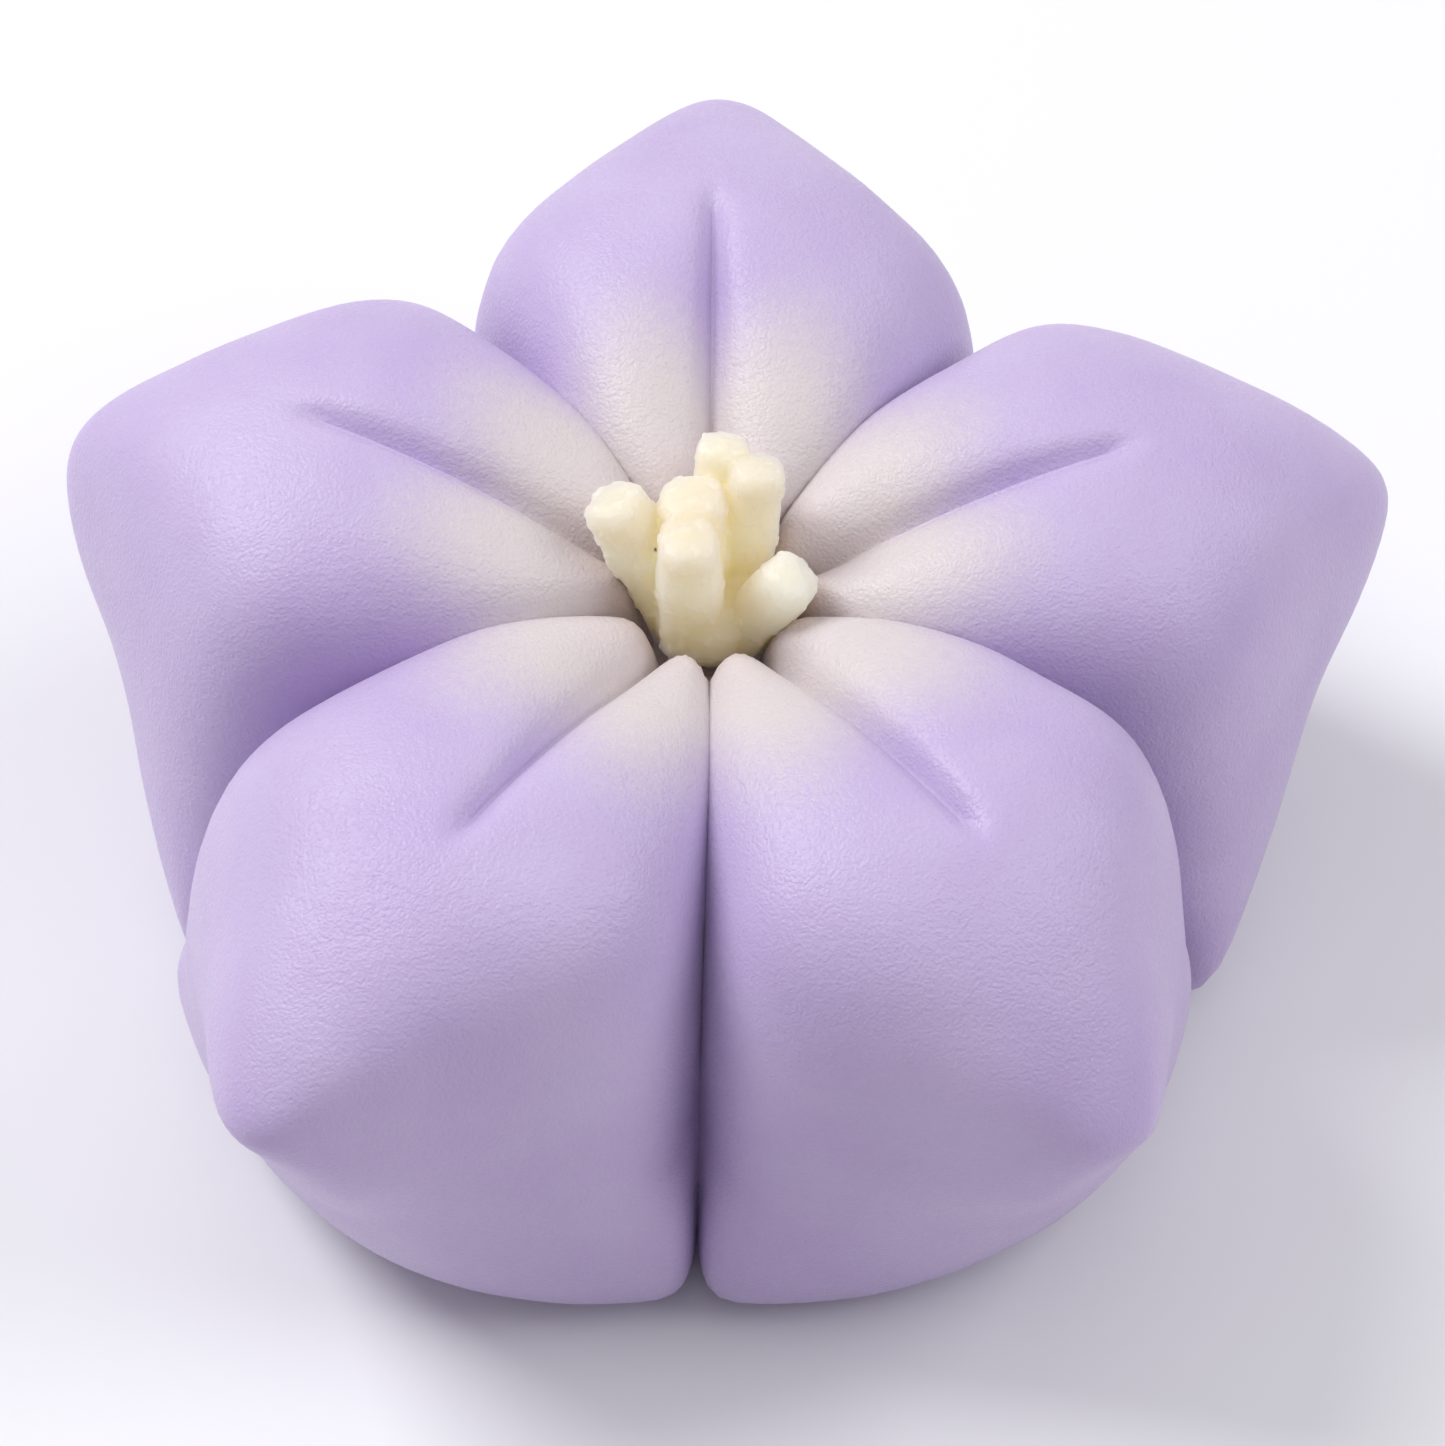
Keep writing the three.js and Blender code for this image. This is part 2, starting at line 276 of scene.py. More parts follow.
class NodeTree:
    """Short ways to add and wire the nodes of one material."""

    def __init__(self, name: str) -> None:
        """Starts a material that holds only a Principled shader and its output."""
        self.material = bpy.data.materials.new(name)
        self.material.use_nodes = True
        self.nodes = self.material.node_tree.nodes
        self.shader = self.nodes["Principled BSDF"]
        self.place = self.add("ShaderNodeTexCoord").outputs["Object"]

    def add(self, kind: str, **settings: object) -> bpy.types.Node:
        """Adds a node and sets its properties.

        Args:
            kind: The node's type.
            **settings: Properties of the node.

        Returns:
            The new node.
        """
        node = self.nodes.new(kind)
        for key, value in settings.items():
            setattr(node, key, value)
        return node

    def wire(self, source: bpy.types.NodeSocket, target: bpy.types.NodeSocket) -> None:
        """Links one socket to another."""
        self.material.node_tree.links.new(source, target)

    def speckle(self, grain_mm: float, detail: float = 2.0) -> bpy.types.NodeSocket:
        """Adds noise from 0 to 1.

        Args:
            grain_mm: Width of one swell in millimetres.
            detail: Number of finer layers of noise on top.

        Returns:
            The noise's socket.
        """
        node = self.add("ShaderNodeTexNoise")
        node.inputs["Scale"].default_value = 1.0 / (grain_mm * MM)
        node.inputs["Detail"].default_value = detail
        self.wire(self.place, node.inputs["Vector"])
        return node.outputs["Fac"]

    def spread(self, source: bpy.types.NodeSocket, low: float, high: float,
               start: float = 0.3, end: float = 0.7) -> bpy.types.NodeSocket:
        """Maps one range of a socket to another.

        Args:
            source: The socket to map.
            low: Result at start.
            high: Result at end.
            start: Where the range begins.
            end: Where the range ends.

        Returns:
            The mapped socket.
        """
        node = self.add("ShaderNodeMapRange")
        for key, value in (("From Min", start), ("From Max", end), ("To Min", low), ("To Max", high)):
            node.inputs[key].default_value = value
        self.wire(source, node.inputs["Value"])
        return node.outputs["Result"]

    def maths(self, operation: str, first: bpy.types.NodeSocket,
              second: bpy.types.NodeSocket | float) -> bpy.types.NodeSocket:
        """Adds one Math node.

        Args:
            operation: What the node works out.
            first: Its first socket.
            second: Its second socket or number.

        Returns:
            The result's socket.
        """
        node = self.add("ShaderNodeMath", operation=operation)
        self.wire(first, node.inputs[0])
        if isinstance(second, float):
            node.inputs[1].default_value = second
        else:
            self.wire(second, node.inputs[1])
        return node.outputs["Value"]

    def mix(self, amount: bpy.types.NodeSocket, first: bpy.types.NodeSocket | tuple,
            second: bpy.types.NodeSocket | tuple) -> bpy.types.NodeSocket:
        """Mixes two colours.

        Args:
            amount: Share of the second colour.
            first: A socket or a colour.
            second: A socket or a colour.

        Returns:
            The mixed colour's socket.
        """
        node = self.add("ShaderNodeMix", data_type="RGBA")
        self.wire(amount, node.inputs[0])
        for source, target in ((first, node.inputs[6]), (second, node.inputs[7])):
            if isinstance(source, tuple):
                target.default_value = (*source, 1.0)
            else:
                self.wire(source, target)
        return node.outputs[2]

    def bump(self, heights: Sequence[tuple[bpy.types.NodeSocket, float]]) -> None:
        """Stacks bumps on the shader's normal.

        Args:
            heights: For each bump, its height socket and its depth in millimetres.
        """
        normal = None
        for height, depth in heights:
            node = self.add("ShaderNodeBump")
            node.inputs["Distance"].default_value = depth * MM
            self.wire(height, node.inputs["Height"])
            if normal is not None:
                self.wire(normal, node.inputs["Normal"])
            normal = node.outputs["Normal"]
        self.wire(normal, self.shader.inputs["Normal"])

    def constants(self, **values: object) -> None:
        """Sets shader sockets that are the same all over, named with underscores for spaces."""
        for key, value in values.items():
            self.shader.inputs[key.replace("_", " ")].default_value = value


def linear(red: int, green: int, blue: int) -> tuple[float, float, float]:
    """Turns an 8-bit screen colour into linear light.

    Args:
        red: Red, 0 to 255.
        green: Green, 0 to 255.
        blue: Blue, 0 to 255.

    Returns:
        The three linear channels.
    """
    def channel(value: int) -> float:
        """One channel as linear light."""
        part = value / 255.0
        return part / 12.92 if part <= 0.04045 else ((part + 0.055) / 1.055) ** 2.4

    return channel(red), channel(green), channel(blue)


@dataclass(frozen=True)
class LilacPaste:
    """Lilac bean paste that fades to creamy white where the paleness attribute is high."""

    lilac: tuple[float, float, float] = linear(194, 178, 214)
    lilac_deep: tuple[float, float, float] = linear(185, 166, 208)
    cream: tuple[float, float, float] = linear(209, 200, 202)
    attribute: str = "paleness"
    mottle_size: float = 7.0
    fuzz_size: float = 0.35
    fuzz_share: float = 0.07
    grain_size: float = 0.13
    grain_depth: float = 0.038
    dimple_size: float = 0.26
    dimple_depth: float = 0.027
    swell_size: float = 1.1
    swell_depth: float = 0.03
    roughness: tuple[float, float] = (0.3, 0.52)

    def material(self) -> bpy.types.Material:
        """Builds the material.

        Returns:
            The new material.
        """
        tree = NodeTree("lilac_bean_paste")
        mottle = tree.spread(tree.speckle(self.mottle_size), 0.0, 1.0)
        mottled = tree.mix(mottle, self.lilac, self.lilac_deep)
        pale = tree.add("ShaderNodeAttribute", attribute_name=self.attribute).outputs["Fac"]
        fuzz = tree.spread(tree.speckle(self.fuzz_size, 4.0), -self.fuzz_share, self.fuzz_share)
        amount = tree.maths("ADD", pale, fuzz)
        eased = tree.add("ShaderNodeMapRange", interpolation_type="SMOOTHSTEP")
        tree.wire(amount, eased.inputs["Value"])
        tree.wire(tree.mix(eased.outputs["Result"], mottled, self.cream), tree.shader.inputs["Base Color"])
        grain = tree.speckle(self.grain_size)
        tree.wire(tree.spread(grain, *self.roughness), tree.shader.inputs["Roughness"])
        swell = tree.speckle(self.swell_size)
        dimple = tree.speckle(self.dimple_size)
        tree.bump([(swell, self.swell_depth), (dimple, self.dimple_depth), (grain, self.grain_depth)])
        tree.constants(
            Subsurface_Weight=0.3,
            Subsurface_Radius=(1.2, 0.9, 1.3),
            Subsurface_Scale=1.0 * MM,
            Specular_IOR_Level=0.4,
            Sheen_Weight=0.05,
        )
        return tree.material


@dataclass(frozen=True)
class StamenPaste:
    """Moist pale yellow bean paste pressed through a coarse sieve."""

    # Painted light: the lamp-lit tips get a darker, less yellow cream, and the sides a brighter yellow that
    # stands in for light glowing through the paste.
    cream: tuple[float, float, float] = linear(228, 213, 188)
    yellow: tuple[float, float, float] = linear(255, 236, 204)
    # Deeper yellow for the root down in the pit, partly the paste's own tone and partly painted shade.
    root_yellow_and_shade: tuple[float, float, float] = linear(255, 223, 172)
    lit_tip_zone: tuple[float, float] = (21.5, 23.3)
    root_shade_zone: tuple[float, float] = (18.5, 21.5)
    patch_size: float = 0.9
    patch_share: float = 0.12
    grain_size: float = 0.12
    grain_depth: float = 0.012
    lump_size: float = 0.5
    lump_depth: float = 0.03
    roughness: tuple[float, float] = (0.4, 0.6)

    def material(self) -> bpy.types.Material:
        """Builds the material, with painted light and shade in its colour from the tips down to the root.

        Returns:
            The new material.
        """
        tree = NodeTree("yellow_bean_paste")
        height = tree.add("ShaderNodeSeparateXYZ")
        tree.wire(tree.place, height.inputs[0])
        # Painted light: darker cream up at the lamp-lit tips, brighter yellow lower down for the glow through
        # the sides.
        below = tree.spread(height.outputs["Z"], 1.0, 0.0, *(edge * MM for edge in self.lit_tip_zone))
        patches = tree.spread(tree.speckle(self.patch_size), -self.patch_share, self.patch_share)
        body = tree.mix(tree.maths("ADD", below, patches), self.cream, self.yellow)
        # Deeper yellow towards the root in the pit: partly the paste's own tone, partly painted shade.
        root = tree.spread(height.outputs["Z"], 1.0, 0.0, *(edge * MM for edge in self.root_shade_zone))
        tree.wire(tree.mix(root, body, self.root_yellow_and_shade), tree.shader.inputs["Base Color"])
        grain = tree.speckle(self.grain_size, 3.0)
        tree.wire(tree.spread(grain, *self.roughness), tree.shader.inputs["Roughness"])
        tree.bump([(tree.speckle(self.lump_size), self.lump_depth), (grain, self.grain_depth)])
        tree.constants(
            Subsurface_Weight=1.0,
            Subsurface_Radius=(1.0, 0.9, 0.6),
            Subsurface_Scale=6.0 * MM,
            Specular_IOR_Level=0.45,
            Sheen_Weight=0.3,
            Sheen_Roughness=0.6,
        )
        return tree.material


@dataclass(frozen=True)
class PaleFloor:
    """Plain white tabletop."""

    colour: tuple[float, float, float] = linear(231, 231, 234)

    def material(self) -> bpy.types.Material:
        """Builds the material.

        Returns:
            The new material.
        """
        tree = NodeTree("pale_floor")
        tree.constants(Base_Color=(*self.colour, 1.0), Roughness=0.7, Specular_IOR_Level=0.2)
        return tree.material


@dataclass(frozen=True)
class Unevenness:
    """One layer of random unevenness, in millimetres, with the seed of its pattern."""

    size: float
    height: float
    seed: float

    def lift(self, points: np.ndarray) -> np.ndarray:
        """Height of the layer at each point in millimetres."""
        return self.height * uneven(points, self.size, self.seed)


@dataclass(frozen=True)
class Petal:
    """What hand shaping gave one petal, in millimetres and degrees."""

    azimuth: float
    reach: float
    tip_height: float
    crest: float
    turn: float
    tip_side: float
    foot: float
    crispness: float
    lip: float
    upper_lean: float = 5.7
    lower_turn: float = 17.2
    lower_lean: float = 23.1
    lower_blend: float = 9.0
    back_outward: float = 22.2
    back_sideways: float = 22.0
    face_blend: float = 8.3
    wall_blend: float = 5.8
    dent_depth: float = 0.35


@dataclass
class Flower:
    """Five petals, the core that joins them, and the pit for the stamens."""

    petals: tuple[Petal, ...] = (
        Petal(
            azimuth=18.0, reach=28.2, tip_height=17.1, tip_side=0.5,
            crest=22.8, turn=47.4, foot=21.5, crispness=12.0, lip=0.3,
        ),
        Petal(
            azimuth=91.2, reach=27.2, tip_height=16.9, tip_side=-0.3,
            crest=23.3, turn=47.4, foot=21.3, crispness=8.0, lip=0.0,
        ),
        Petal(
            azimuth=161.6, reach=26.6, tip_height=16.4, tip_side=-0.1,
            crest=23.2, turn=44.4, foot=21.3, crispness=12.0, lip=0.1,
        ),
        Petal(
            azimuth=237.6, reach=28.9, tip_height=16.2, tip_side=-1.3,
            crest=22.8, turn=48.6, foot=22.4, crispness=17.7, lip=1.0,
            upper_lean=6.5, lower_turn=17.1, lower_lean=20.5, lower_blend=6.7,
            back_outward=23.1, back_sideways=25.9, face_blend=5.9,
            wall_blend=4.5, dent_depth=0.1,
        ),
        Petal(
            azimuth=307.0, reach=27.5, tip_height=15.4, tip_side=-0.3,
            crest=22.8, turn=47.7, foot=22.0, crispness=25.7, lip=0.5,
            upper_lean=6.8, lower_turn=21.2, lower_lean=19.5, lower_blend=5.1,
            back_outward=19.0, back_sideways=25.4, face_blend=6.8,
            wall_blend=4.9, dent_depth=0.1,
        ),
    )
    grooves: tuple[float, ...] = (-15.6, 53.5, 124.5, 196.9, 270.6)
    groove_start: float = 15.0
    groove_opening: float = 1.2
    groove_lean: float = 0.2
    shoulder_swell: float = 1.0
    shoulder_start: float = 2.0
    shoulder_full: float = 8.0
    shoulder_end: float = 18.5
    shoulder_power: int = 6
    heart: tuple[float, float, float] = (13.5, 0.0, 10.0)
    back_inward: float = 26.0
    back_upward: float = 30.0
    base_trim: float = 0.3
    base_crispness: float = 8.0
    base_facing: tuple[float, float] = (0.1, 0.6)
    top_facing: tuple[float, float] = (-0.1, 0.3)
    upper_blend: float = 10.6
    tip_spread: float = 0.05
    nose: tuple[float, float, float] = (3.5, 0.0, 20.0)
    nose_crispness: float = 10.0
    nose_spread: float = 0.12
    crease_depth: float = 1.9
    crease_end: float = 16.8
    crease_fade: float = 12.0
    crease_width: float = 1.35
    crease_tail: float = 0.45
    crease_core: float = 0.08
    crease_widest: float = 7.0
    crease_narrowed: float = 16.0
    crease_power: float = 0.8
    crease_onset: float = 0.15
    channel_depth: float = 0.35
    channel_width: float = 0.42
    channel_onset: float = 0.12
    lip_radius: float = 2.4
    dent: tuple[float, float, float] = (24.0, 5.0, 9.0)
    dent_radius: float = 4.0
    pit_radius: float = 3.4
    pit_depth: float = 4.5
    pit_ease: float = 2.2
    pit_notch: float = 0.9
    core_outline: tuple[tuple[float, float], ...] = (
        (11.5, 0.0), (11.5, 9.0), (10.5, 13.0), (8.5, 15.5), (6.0, 16.8), (2.8, 17.0), (2.4, 16.0),
    )
    pit_outline: tuple[tuple[float, float], ...] = (
        (1.3, 15.8), (2.1, 16.6), (2.55, 17.7), (2.6, 19.0), (3.6, 24.0),
    )
    core_steps: int = 96
    pit_steps: int = 72
    cuts: int = 54
    grid_ease: float = 0.7
    grid_inset: float = 0.6
    kneading: tuple[Unevenness, ...] = (
        Unevenness(size=8.0, height=0.12, seed=3.0),
        Unevenness(size=2.6, height=0.045, seed=9.0),
    )
    kneading_above: float = 2.0
    white_reach: float = 8.6
    white_lobe: float = 2.2
    white_fade: float = 6.4
    white_heights: tuple[float, float] = (13.0, 17.0)
    sharp_over: float = 38.0
    finish: LilacPaste = field(default_factory=LilacPaste)

    def sides(self, index: int) -> tuple[float, float]:
        """Works out how far a petal is from the grooves beside it.

        Args:
            index: The petal's place in the ring.

        Returns:
            Degrees from its own direction to the groove on its left and on its right.
        """
        azimuth = self.petals[index].azimuth
        left = (self.grooves[(index + 1) % len(self.grooves)] - azimuth) % 360.0
        return left, azimuth - self.grooves[index]

    def face_pull(self, rays: np.ndarray, turn: float, rise: float, through: Sequence[float]) -> np.ndarray:
        """Inverse distance from the heart to a flat face along each ray.

        Args:
            rays: Unit directions.
            turn: Degrees from the petal's direction to the face's normal, in plan.
            rise: Degrees the normal points up.
            through: A point of the face.

        Returns:
            The pull for each ray, 0 where the ray leaves the face behind.
        """
        turn, rise = math.radians(turn), math.radians(rise)
        normal = np.array([math.cos(rise) * math.cos(turn), math.cos(rise) * math.sin(turn), math.sin(rise)])
        return np.maximum(rays @ normal, 0.0) / float((np.array(through) - self.heart) @ normal)

    def back_pull(self, rays: np.ndarray, petal: Petal) -> np.ndarray:
        """Inverse distance from the heart to the ellipsoid that rounds the petal's back.

        Args:
            rays: Unit directions.
            petal: The petal's own measures.

        Returns:
            The pull for each ray.
        """
        along = np.where(rays[:, 0] > 0.0, petal.back_outward, self.back_inward)
        ray = np.stack(
            [rays[:, 0] / along, rays[:, 1] / petal.back_sideways, rays[:, 2] / self.back_upward], 1
        )
        offset = (self.heart[2] - petal.crest + self.back_upward) / self.back_upward
        a = (ray * ray).sum(1)
        b = offset * ray[:, 2]
        return a / (np.sqrt(b * b - a * (offset * offset - 1.0)) - b)

    def closeness(self, rays: np.ndarray, target: Sequence[float], spread: float) -> np.ndarray:
        """How nearly each ray from the heart points at a target, from 0 to 1."""
        aim = np.array(target) - self.heart
        return np.exp(-(1.0 - rays @ (aim / np.linalg.norm(aim))) / spread)

    def surface(self, rays: np.ndarray, petal: Petal, left: float, right: float) -> np.ndarray:
        """Plain surface points of a petal along rays from its heart.

        Args:
            rays: Unit directions.
            petal: The petal's own measures.
            left: Degrees to the groove on its left.
            right: Degrees to the groove on its right.

        Returns:
            One point for each ray, in the petal's own frame.
        """
        tip = (petal.reach, petal.tip_side, petal.tip_height)
        foot = (petal.foot, 0.0, 0.0)
        walls, upper, lower = [], [], []
        for side, half in ((-1, right), (1, left)):
            groove = math.radians(side * half)
            plan = (math.cos(groove), math.sin(groove))
            start = (self.groove_start * plan[0], self.groove_start * plan[1], self.heart[2])
            wall_turn = side * (half + 90.0 - self.groove_opening / 2.0)
            walls.append(self.face_pull(rays, wall_turn, self.groove_lean, start))
            upper.append(self.face_pull(rays, side * petal.turn, petal.upper_lean, tip))
            lower.append(self.face_pull(rays, side * petal.lower_turn, -petal.lower_lean, foot))
        pulls = [
            blend(upper, self.upper_blend),
            blend(lower, petal.lower_blend),
            self.back_pull(rays, petal),
            np.maximum(-rays[:, 2], 0.0) / (self.heart[2] + self.base_trim),
        ]
        at_tip = petal.crispness * self.closeness(rays, tip, self.tip_spread)
        at_nose = self.nose_crispness * self.closeness(rays, self.nose, self.nose_spread)
        open_faces = blend(pulls, petal.face_blend + at_tip + at_nose)
        at_base = self.base_crispness * ease(-rays[:, 2], *self.base_facing)
        at_walls = petal.wall_blend + at_tip + at_nose + at_base
        return self.heart + rays / blend([*walls, open_faces], at_walls)[:, None]

    def pressed(
        self, points: np.ndarray, rays: np.ndarray, petal: Petal, left: float, right: float
    ) -> np.ndarray:
        """Presses the crease, the turn down into the pit and the finger dents into surface points.

        Args:
            points: Plain surface points in the petal's own frame.
            rays: Unit directions that they lie along.
            petal: The petal's own measures.
            left: Degrees to the groove on its left.
            right: Degrees to the groove on its right.

        Returns:
            One point for each ray.
        """
        x, y, z = points.T
        share = np.abs(np.arctan2(y, x)) / np.radians(np.where(y > 0.0, left, right))
        radius = np.hypot(x, y)
        swell = self.shoulder_swell * ease(radius, self.shoulder_start, self.shoulder_full)
        swell *= 1.0 - ease(radius, self.shoulder_full, self.shoulder_end)
        y = y + np.sign(y) * swell * np.minimum(share, 1.0) ** self.shoulder_power
        facing_up = ease(rays[:, 2], *self.top_facing)
        aside = np.hypot(y, self.crease_core) - self.crease_core
        opening = ease(x, 0.0, self.crease_widest) * (1.0 - ease(x, self.crease_widest, self.crease_narrowed))
        width = self.crease_tail + (self.crease_width - self.crease_tail) * opening
        run = np.clip((self.crease_end - x) / self.crease_fade, 0.0, 1.0)
        along = run**self.crease_power * ease(run, 0.0, self.crease_onset)
        crease = self.crease_depth * along * np.exp(-aside / width)
        channel = np.exp(-((y / self.channel_width) ** 2))
        crease += self.channel_depth * ease(run, 0.0, self.channel_onset) * channel
        lobe = np.sin(math.pi * np.minimum(share, 1.0))
        rim = self.pit_radius + self.pit_notch * (1.0 - lobe)
        pit = self.pit_depth * ease(rim - np.hypot(x, y), 0.0, self.pit_ease)
        shaped = np.stack([x, y, z - (crease + pit) * facing_up], 1)
        for side in (-1, 1):
            dent = np.array(self.dent) * (1, side, 1)
            near = np.exp(-((shaped - dent) ** 2).sum(1) / self.dent_radius**2)
            inward = self.heart - shaped
            inward /= np.linalg.norm(inward, axis=1)[:, None]
            shaped += petal.dent_depth * near[:, None] * inward
        tip = np.array((petal.reach, petal.tip_side, petal.tip_height))
        near = np.exp(-((shaped - tip) ** 2).sum(1) / self.lip_radius**2)
        outward = (shaped - self.heart) * (1, 1, 0)
        outward /= np.maximum(np.linalg.norm(outward, axis=1), 1.0)[:, None]
        return shaped + petal.lip * near[:, None] * outward

    def petal_object(self, index: int) -> bpy.types.Object:
        """Makes one petal as a closed solid, from a fine box whose grid takes the petal's plan first.

        Args:
            index: The petal's place in the ring.

        Returns:
            The new object.
        """
        petal = self.petals[index]
        left, right = self.sides(index)
        made = from_bmesh(f"petal_{index}", fine_box(self.cuts))
        u, v, w = gather(points_of(made.data).T, self.grid_ease)
        x = self.grid_inset + (petal.reach - 2.0 * self.grid_inset) * (u + 1.0) / 2.0
        half = np.radians(np.where(v > 0.0, left, right))
        half_width = np.minimum(x * np.tan(half), (petal.reach - x) / math.tan(math.radians(petal.turn)))
        rays = np.stack([x, v * half_width, petal.crest * (w + 1.0) / 2.0], 1) - self.heart
        rays /= np.linalg.norm(rays, axis=1)[:, None]
        points = self.pressed(self.surface(rays, petal, left, right), rays, petal, left, right)
        turn = Matrix.Rotation(math.radians(petal.azimuth), 3, "Z")
        set_points(made.data, points @ np.array(turn).T * MM)
        return made

    def trim_base(self, obj: bpy.types.Object) -> None:
        """Cuts everything under the floor away and closes the flat base.

        Args:
            obj: The joined petals.
        """
        bm = bmesh.new()
        bm.from_mesh(obj.data)
        cut = bmesh.ops.bisect_plane(
            bm, geom=bm.verts[:] + bm.edges[:] + bm.faces[:], dist=1e-7,
            plane_co=(0, 0, 0), plane_no=(0, 0, 1), clear_inner=True,
        )
        rim = [part for part in cut["geom_cut"] if isinstance(part, bmesh.types.BMEdge)]
        bmesh.ops.edgenet_fill(bm, edges=rim)
        bmesh.ops.recalc_face_normals(bm, faces=bm.faces[:])
        bmesh.ops.triangulate(bm, faces=[face for face in bm.faces if len(face.verts) > 4])
        bm.to_mesh(obj.data)
        bm.free()

    def knead(self, mesh: bpy.types.Mesh) -> None:
        """Gives the surface the slight unevenness of paste shaped by hand.

        Args:
            mesh: The flower's mesh, whose flat base stays as it is.
        """
        points = points_of(mesh)
        swell = sum(layer.lift(points / MM) for layer in self.kneading)
        share = ease(points[:, 2] / MM, 0.0, self.kneading_above)
        set_points(mesh, points + normals_of(mesh) * (swell * share * MM)[:, None])

    def paleness(self, points: np.ndarray) -> np.ndarray:
        """How far the lilac has faded to white at each point, before its fuzzy edge.

        Args:
            points: Positions in millimetres.

        Returns:
            About 0 on the lilac and 1 on the white, and between them across the fade.
        """
        radius = np.hypot(points[:, 0], points[:, 1])
        azimuth = np.degrees(np.arctan2(points[:, 1], points[:, 0]))
        pale = np.zeros(len(points))
        for index, petal in enumerate(self.petals):
            left, right = self.sides(index)
            turn = (azimuth - petal.azimuth + 180.0) % 360.0 - 180.0
            inside = (turn < left) & (turn >= -right)
            share = np.abs(turn) / np.where(turn > 0.0, left, right)
            lobe = np.sin(math.pi * np.clip(share, 0.0, 1.0))
            reach = self.white_reach + self.white_lobe * lobe
            pale[inside] = np.clip(0.5 + (reach - radius) / self.white_fade, 0.0, 1.0)[inside]
        return pale * ease(points[:, 2], *self.white_heights)

    def build(self) -> bpy.types.Object:
        """Makes the flower, dresses it and stands it in for its solid.

        Returns:
            The finished piece.
        """
        made = self.petal_object(0)
        made.name = "bellflower"
        others = [self.petal_object(index) for index in range(1, len(self.petals))]
        others.append(turned("core", self.core_outline, self.core_steps))
        combine(made, others, "UNION")
        combine(made, [turned("pit", self.pit_outline, self.pit_steps)], "DIFFERENCE")
        self.trim_base(made)
        self.knead(made.data)
        values = self.paleness(points_of(made.data) / MM)
        attribute = made.data.attributes.new(self.finish.attribute, "FLOAT", "POINT")
        attribute.data.foreach_set("value", values.astype(np.float32))
        made.data.materials.clear()
        made.data.materials.append(self.finish.material())
        smooth(made, self.sharp_over)
        settle(made, Node.FLOWER)
        return made


@dataclass(frozen=True)
class Strand:
    """One strand of the tuft, from foot to head, in millimetres."""

    foot: tuple[float, float, float]
    head: tuple[float, float, float]
    radius: float


